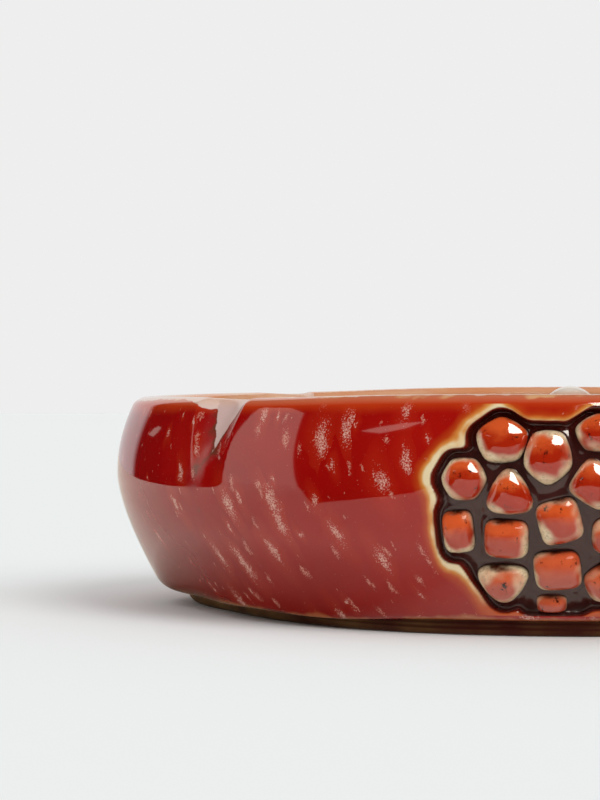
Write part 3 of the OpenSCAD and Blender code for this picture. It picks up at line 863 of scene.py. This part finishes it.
def seed_tree(material):
    """Tree that sets a pillow on every point and gives it that point's outline, tilt and rise."""
    tree = bpy.data.node_groups.new("pomegranate_seeds", "GeometryNodeTree")
    face = tree.interface
    face.new_socket("Geometry", in_out="INPUT", socket_type="NodeSocketGeometry")
    sizes = {}
    for name, kind, value in (
        ("Segments", "NodeSocketInt", 48),
        ("Rings", "NodeSocketInt", 26),
        ("Side steepness", "NodeSocketFloat", 0.9),
        ("Crown fullness", "NodeSocketFloat", 0.8),
        ("Corner spread", "NodeSocketFloat", 1.6),
        ("Corner sharpness", "NodeSocketFloat", 0.17),
        ("Lump height", "NodeSocketFloat", 0.8 / MM),
        ("Lump width", "NodeSocketFloat", 6.5 / MM),
    ):
        socket = face.new_socket(name, in_out="INPUT", socket_type=kind)
        socket.default_value = value
        sizes[name] = value
    face.new_socket("Geometry", in_out="OUTPUT", socket_type="NodeSocketGeometry")
    given = add(tree, "NodeGroupInput")

    def named(key):
        return add(tree, "GeometryNodeInputNamedAttribute", {0: key}, data_type="FLOAT_VECTOR")[0]

    ball = add(tree, "GeometryNodeMeshUVSphere", {0: given["Segments"], 1: given["Rings"], 2: 1.0})[0]
    here = add(tree, "GeometryNodeInputPosition")[0]
    ball = add(
        tree, "GeometryNodeStoreNamedAttribute", {0: ball, 2: "ball", 3: here}, data_type="FLOAT_VECTOR")[0]
    placed = add(tree, "GeometryNodeInstanceOnPoints", {0: given["Geometry"], 2: ball})[0]
    placed = add(tree, "GeometryNodeRealizeInstances", {0: placed})[0]

    local = named("ball")
    seat = add(tree, "ShaderNodeVectorMath", {0: here, 1: local}, operation="SUBTRACT")[0]
    x, y, height = add(tree, "ShaderNodeSeparateXYZ", {0: local})
    angle = add(tree, "ShaderNodeMath", {0: y, 1: x}, operation="ARCTAN2")[0]
    count, tilt, strength = add(tree, "ShaderNodeSeparateXYZ", {0: named("corners")})
    turned = add(tree, "ShaderNodeMath", {0: angle, 1: tilt}, operation="SUBTRACT")[0]
    turned = add(tree, "ShaderNodeMath", {0: turned, 1: count}, operation="MULTIPLY")[0]
    wave = add(tree, "ShaderNodeMath", {0: turned}, operation="COSINE")[0]
    twice = add(tree, "ShaderNodeMath", {0: turned, 1: 2.0}, operation="MULTIPLY")[0]
    twice = add(tree, "ShaderNodeMath", {0: twice}, operation="COSINE")[0]
    sharpness = given["Corner sharpness"]
    wave = add(tree, "ShaderNodeMath", {0: twice, 1: sharpness, 2: wave}, operation="MULTIPLY_ADD")[0]
    flat = add(tree, "ShaderNodeCombineXYZ", {0: x, 1: y})[0]
    level = add(tree, "ShaderNodeVectorMath", {0: flat}, operation="LENGTH")["Value"]
    reach = add(tree, "ShaderNodeMath", {0: level, 1: given["Side steepness"]}, operation="POWER")[0]
    edged = add(tree, "ShaderNodeMath", {0: reach, 1: given["Corner spread"]}, operation="POWER")[0]
    edged = add(tree, "ShaderNodeMath", {0: edged, 1: strength}, operation="MULTIPLY")[0]
    outline = add(tree, "ShaderNodeMath", {0: wave, 1: edged, 2: 1.0}, operation="MULTIPLY_ADD")[0]

    along = add(tree, "ShaderNodeMath", {0: reach, 1: outline}, operation="MULTIPLY")[0]
    direction = add(tree, "ShaderNodeVectorMath", {0: flat}, operation="NORMALIZE")[0]
    spread = add(tree, "ShaderNodeVectorMath", {0: direction, "Scale": along}, operation="SCALE")[0]
    raised = add(tree, "ShaderNodeMath", {0: height, 1: 0.0}, operation="MAXIMUM")[0]
    raised = add(tree, "ShaderNodeMath", {0: raised, 1: given["Crown fullness"]}, operation="POWER")[0]
    sunk = add(tree, "ShaderNodeMath", {0: height, 1: 0.0}, operation="MINIMUM")[0]
    lift = add(tree, "ShaderNodeMath", {0: sunk, 1: 0.06, 2: raised}, operation="MULTIPLY_ADD")[0]

    spread_x, spread_y, _ = add(tree, "ShaderNodeSeparateXYZ", {0: spread})
    shares = add(tree, "ShaderNodeCombineXYZ", {0: spread_x, 1: spread_y, 2: lift})[0]
    sized = add(tree, "ShaderNodeVectorMath", {0: shares, 1: named("half_size")}, operation="MULTIPLY")[0]
    sized = add(tree, "ShaderNodeSeparateXYZ", {0: sized})
    spot = seat
    for part, key in zip(sized, ("side_axis", "up_axis", "out_axis")):
        step = add(tree, "ShaderNodeVectorMath", {0: named(key), "Scale": part}, operation="SCALE")[0]
        spot = add(tree, "ShaderNodeVectorMath", {0: spot, 1: step}, operation="ADD")[0]
    lump_rate = add(tree, "ShaderNodeMath", {0: 1.0, 1: given["Lump width"]}, operation="DIVIDE")[0]
    lump = add(tree, "ShaderNodeTexNoise", {"Vector": spot, "Scale": lump_rate, "Detail": 1.0})[0]
    lump = add(tree, "ShaderNodeMath", {0: lump, 1: -0.75}, operation="ADD")[0]
    lump = add(tree, "ShaderNodeMath", {0: lump, 1: given["Lump height"]}, operation="MULTIPLY")[0]
    lump = add(tree, "ShaderNodeVectorMath", {0: named("out_axis"), "Scale": lump}, operation="SCALE")[0]
    spot = add(tree, "ShaderNodeVectorMath", {0: spot, 1: lump}, operation="ADD")[0]

    shaped = add(tree, "GeometryNodeSetPosition", {0: placed, 2: spot})[0]
    for key, value in (("reach", reach), ("height", raised)):
        shaped = add(
            tree, "GeometryNodeStoreNamedAttribute", {0: shaped, 2: key, 3: value}, data_type="FLOAT")[0]
    shaped = add(tree, "GeometryNodeSetShadeSmooth", {0: shaped})[0]
    shaped = add(tree, "GeometryNodeSetMaterial", {0: shaped, 2: material})[0]
    add(tree, "NodeGroupOutput", {0: shaped})
    return tree, sizes


def make_seeds(material):
    """All the seeds as one finished mesh."""
    places = seed_places()
    tree, sizes = seed_tree(material)
    maker = places.modifiers.new("seeds", "NODES")
    maker.node_group = tree
    for socket in tree.interface.items_tree:
        if socket.in_out == "INPUT" and socket.name in sizes:
            maker[socket.identifier] = sizes[socket.name]
    shaped = places.evaluated_get(bpy.context.evaluated_depsgraph_get())
    mesh = bpy.data.meshes.new_from_object(shaped)
    bpy.data.objects.remove(places)
    piece = bpy.data.objects.new("pomegranate_seeds", mesh)
    bpy.context.collection.objects.link(piece)
    return piece


red_glaze = make_red_glaze()
inner_glaze = make_inner_glaze()
foot_glaze = make_foot_glaze()
seed_glaze = make_seed_glaze()

dress(make_wall(), red_glaze, "red_glaze", "wall")
dress(make_floor(), inner_glaze, "inner_glaze", "floor_slab")
dress(make_foot(), foot_glaze, "foot_glaze", "foot_ring")
dress(make_hub(), inner_glaze, "inner_glaze", "divider_hub")
for name, bearing in (
    ("divider_front_right", pinch_bearing),
    ("divider_back_right", math.pi - pinch_bearing),
    ("divider_back_left", math.pi + pinch_bearing),
    ("divider_front_left", 2 * math.pi - pinch_bearing),
):
    dress(make_divider("glazed_" + name, bearing), inner_glaze, "inner_glaze", name)
dress(make_seeds(seed_glaze), seed_glaze, "seed_glaze", *seed_nodes)

# Studio

WARM_WHITE = "#FFF8EC"


def stage_sheet(name, outline, colour, unseen=()):
    """A flat matt sheet on the table plane, left out of the ray kinds in unseen."""
    mesh = bpy.data.meshes.new(name)
    mesh.from_pydata([(x, y, 0) for x, y in outline], [], [tuple(range(len(outline)))])
    sheet = bpy.data.objects.new(name, mesh)
    bpy.context.collection.objects.link(sheet)
    for ray in unseen:
        setattr(sheet, "visible_" + ray, False)
    material, tree, shader = new_glaze(name)
    shader.inputs["Base Color"].default_value = linear(colour)
    shader.inputs["Roughness"].default_value = 0.9
    shader.inputs["Specular IOR Level"].default_value = 0.0
    mesh.materials.append(material)
    return tree, shader


def make_table():
    """Pale floor that keeps the dish's shadow, and the smaller white sheet that the glaze reflects, with a
    painted shadow near the dish.
    """
    stage_sheet("studio_floor", [(-4, -4), (4, -4), (4, 4), (-4, 4)], "#F5F8F7", ["glossy"])
    left_edge = [
        (-1.6, 3), (-1.6, 1.7), (-0.85, 0.72), (-0.46, 0.22), (-0.38, 0.11), (-0.34, 0.05), (-0.33, 0),
        (-0.45, -0.02), (-1.2, 0.09), (-1.2, -0.42), (-0.185, -0.148), (-0.15, -0.14), (-0.141, -0.17),
        (-0.146, -0.216), (-0.171, -0.28), (-0.48, -0.69),
    ]
    tree, shader = stage_sheet(
        "white_sheet", left_edge + [(3, -0.69), (3, 3)], WARM_WHITE,
        ["camera", "diffuse", "shadow", "transmission"])
    place = add(tree, "ShaderNodeTexCoord")["Object"]
    out = add(tree, "ShaderNodeVectorMath", {0: place}, operation="LENGTH")["Value"]
    across = add(tree, "ShaderNodeSeparateXYZ", {0: place})[0]
    # Painted shadow: the sheet is darker close to the dish on its left
    away = add(tree, "ShaderNodeMapRange", {0: out, 1: 0.126, 2: 0.155})[0]
    ahead = add(tree, "ShaderNodeMapRange", {0: across, 1: -0.07, 2: -0.03})[0]
    open_floor = add(tree, "ShaderNodeMath", {0: away, 1: ahead}, operation="MAXIMUM")[0]
    shaded = coats(tree, linear("#685F52"), (open_floor, WARM_WHITE))
    tree.links.new(shaded, shader.inputs["Base Color"])
    lit = add(tree, "ShaderNodeMapRange", {0: across, 1: -0.16, 2: -0.32, 3: 0.0, 4: 0.2})[0]
    shader.inputs["Emission Color"].default_value = linear(WARM_WHITE)
    tree.links.new(lit, shader.inputs["Emission Strength"])


def toward(bearing, rise, far, start=(0, 0, 0)):
    """Point far metres from a starting point, at a bearing and a rise in degrees."""
    b, e = math.radians(bearing), math.radians(rise)
    way = Vector((math.sin(b) * math.cos(e), -math.cos(b) * math.cos(e), math.sin(e)))
    return Vector(start) + way * far


def make_card(name, corners, strength):
    """A card that only reflections show, lit or, at strength 0, black."""
    mesh = bpy.data.meshes.new(name)
    mesh.from_pydata(corners, [], [tuple(range(len(corners)))])
    card = bpy.data.objects.new(name, mesh)
    bpy.context.collection.objects.link(card)
    for ray in ("camera", "diffuse", "transmission", "shadow", "volume_scatter"):
        setattr(card, "visible_" + ray, False)
    material = bpy.data.materials.new(name)
    material.use_nodes = True
    tree = material.node_tree
    tree.nodes.clear()
    glow = add(tree, "ShaderNodeEmission", {"Color": linear(WARM_WHITE), "Strength": strength})[0]
    add(tree, "ShaderNodeOutputMaterial", {0: glow})
    mesh.materials.append(material)


def make_world():
    """White surround for the camera, soft light from the back left, and a dark room with a white back.

    Only reflections see the room.
    """
    world = bpy.data.worlds.new("studio")
    bpy.context.scene.world = world
    world.use_nodes = True
    tree = world.node_tree
    tree.nodes.clear()
    path = add(tree, "ShaderNodeLightPath")
    direction = add(tree, "ShaderNodeTexCoord")["Generated"]
    back = add(tree, "ShaderNodeSeparateXYZ", {0: direction})[1]
    lit_side = add(
        tree, "ShaderNodeVectorMath", {0: direction, 1: (-0.9, 0.45, 0)}, operation="DOT_PRODUCT")["Value"]
    behind = add(tree, "ShaderNodeMapRange", {0: back, 1: 0.75, 2: 0.785, 3: 0.012, 4: 0.8})[0]
    around = add(tree, "ShaderNodeMapRange", {0: lit_side, 1: -1, 2: 1, 3: 0.35, 4: 0.97})[0]
    level = add(
        tree, "ShaderNodeMix", {0: path["Is Glossy Ray"], 2: around, 3: behind}, data_type="FLOAT")[0]
    level = add(
        tree, "ShaderNodeMix", {0: path["Is Camera Ray"], 2: level, 3: 0.855}, data_type="FLOAT")[0]
    sky = add(tree, "ShaderNodeBackground", {"Color": (1, 1, 1, 1), "Strength": level})[0]
    add(tree, "ShaderNodeOutputWorld", {0: sky})


def make_key():
    """Soft key from the upper right: it gives the shadow, and the cards give its reflections."""
    lamp = bpy.data.lights.new("key", "SUN")
    lamp.energy = 1.3
    lamp.angle = math.radians(38)
    key = bpy.data.objects.new("key", lamp)
    bpy.context.collection.objects.link(key)
    key.rotation_euler = Vector((0.55, -0.6, 0.65)).to_track_quat("Z", "Y").to_euler()
    key.visible_glossy = False


def make_camera():
    """Camera of the photograph's view: nearly level with the rim, turned to the dish's left part."""
    focal_px = 3167
    frame_h_px = 800
    centre_px = (270, 32.5)
    camera_data = bpy.data.cameras.new("camera")
    camera_data.sensor_width = 36
    camera_data.lens = focal_px / frame_h_px * camera_data.sensor_width
    camera = bpy.data.objects.new("camera", camera_data)
    bpy.context.collection.objects.link(camera)
    camera.location = (0, -0.980, 0.0727)
    camera.rotation_euler = (
        math.pi / 2 - math.atan(centre_px[1] / focal_px), 0, math.atan(centre_px[0] / focal_px))
    bpy.context.scene.camera = camera


make_table()
make_world()
make_key()
make_card(
    "left_panel", [(-1.2, -0.42, 0), (-1.2, 0.09, 0), (-1.2, 0.09, 0.72), (-1.2, -0.21, 0.72)], 0.95)
softbox = (
    (10, 42), (30, 35), (60, 32), (90, 32), (100, 36), (100, 80), (90, 82), (50, 78), (25, 68), (10, 60))
relief_middle = (-0.01, -0.13, 0.045)
make_card("right_softbox", [toward(*corner, 0.5, relief_middle) for corner in softbox], 12)
make_card("black_flag", [(-0.1, 0, 0.13), (0.4, 0, 0.13), (0.4, 0, 0.62), (-0.1, 0, 0.62)], 0)
for name, strength, corners in (
    ("thin_lamp", 2, (
        (0, 38), (4, 48), (9, 58), (13, 66), (13.6, 66), (9.5, 57.7), (4.4, 47.7), (0.4, 38))),
    ("small_lamp", 1.3, ((-57, 27), (-53, 28.6), (-48, 29.6), (-41, 30.5), (-45, 27.6), (-51, 26))),
    ("far_lamp", 0.7, (
        (-130, 11), (-128.5, 13), (-126.5, 14.4), (-124.8, 14.6), (-125.4, 13), (-127, 11.4))),
):
    make_card(name, [toward(*corner, 1.4) for corner in corners], strength)
make_camera()

bpy.context.scene.view_settings.view_transform = "Standard"
